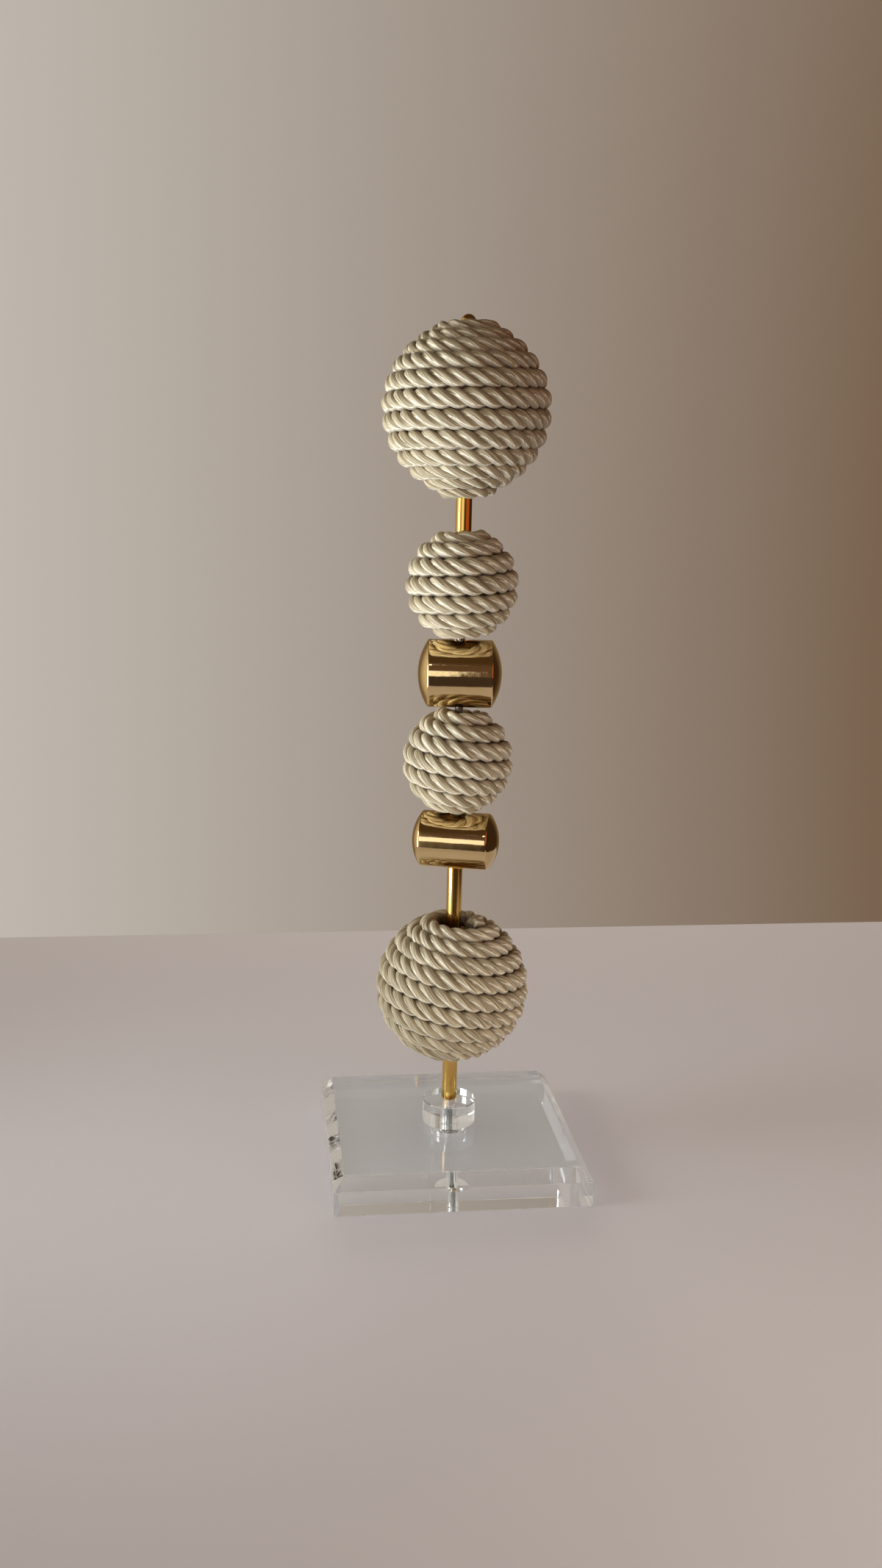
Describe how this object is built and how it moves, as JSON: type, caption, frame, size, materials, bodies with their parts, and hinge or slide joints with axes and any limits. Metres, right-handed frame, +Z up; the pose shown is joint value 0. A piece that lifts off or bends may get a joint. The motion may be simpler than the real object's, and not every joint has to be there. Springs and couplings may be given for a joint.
{
  "type": "cord-wound ball table sculpture",
  "caption": "Tall table ornament: balls wound in twisted cord and polished gilt cross barrels, stacked on a threaded rod with gilt tubes, standing on a clear bevelled base with a round collar.",
  "frame": {"origin": "middle of the base's underside, on the surface that it stands on", "axes": "+Z up along the rod, +X to the right along the base's front edge, -Y towards the front"},
  "size_m": [0.1, 0.1, 0.3316],
  "materials": {
    "clear_acrylic": "clear cast acrylic, polished",
    "gilt_tube": "polished brass tube",
    "gilt_barrel": "pale gold plated, mirror polished",
    "zinc_steel": "zinc plated, threaded",
    "ivory_cord": "satin three-strand twisted cord",
    "core_wood": "turned, unfinished"
  },
  "bodies": {
    "stand": {"base_plate": "clear_acrylic", "base_collar": "clear_acrylic", "core_rod": "zinc_steel", "base_washer": "zinc_steel", "base_nut": "zinc_steel", "lower_tube": "gilt_tube", "middle_tube": "gilt_tube", "upper_tube": "gilt_tube", "top_washer": "zinc_steel"},
    "bottom_ball": {"bottom_ball_core": "core_wood", "bottom_ball_cord": "ivory_cord"},
    "lower_barrel": {"lower_barrel": "gilt_barrel"},
    "lower_ball": {"lower_ball_core": "core_wood", "lower_ball_cord": "ivory_cord"},
    "upper_barrel": {"upper_barrel": "gilt_barrel"},
    "upper_ball": {"upper_ball_core": "core_wood", "upper_ball_cord": "ivory_cord"},
    "top_ball": {"top_ball_core": "core_wood", "top_ball_cord": "ivory_cord"},
    "cap_nut": {"cap_nut": "gilt_tube"}
  },
  "joints": [
    {"name": "bottom_ball_turn", "type": "hinge", "parent": "stand", "child": "bottom_ball", "pos_m": [0, 0, 0.073], "axis": [0, 0, 1], "continuous": true},
    {"name": "lower_barrel_turn", "type": "hinge", "parent": "stand", "child": "lower_barrel", "pos_m": [0, 0, 0.133], "axis": [0, 0, 1], "continuous": true},
    {"name": "lower_ball_turn", "type": "hinge", "parent": "stand", "child": "lower_ball", "pos_m": [0, 0, 0.166], "axis": [0, 0, 1], "continuous": true},
    {"name": "upper_barrel_turn", "type": "hinge", "parent": "stand", "child": "upper_barrel", "pos_m": [0, 0, 0.2], "axis": [0, 0, 1], "continuous": true},
    {"name": "upper_ball_turn", "type": "hinge", "parent": "stand", "child": "upper_ball", "pos_m": [0, 0, 0.233], "axis": [0, 0, 1], "continuous": true},
    {"name": "top_ball_turn", "type": "hinge", "parent": "stand", "child": "top_ball", "pos_m": [0, 0, 0.299], "axis": [0, 0, 1], "continuous": true},
    {"name": "cap_nut_turn", "type": "hinge", "parent": "stand", "child": "cap_nut", "pos_m": [0, 0, 0.326], "axis": [0, 0, 1], "continuous": true}
  ]
}
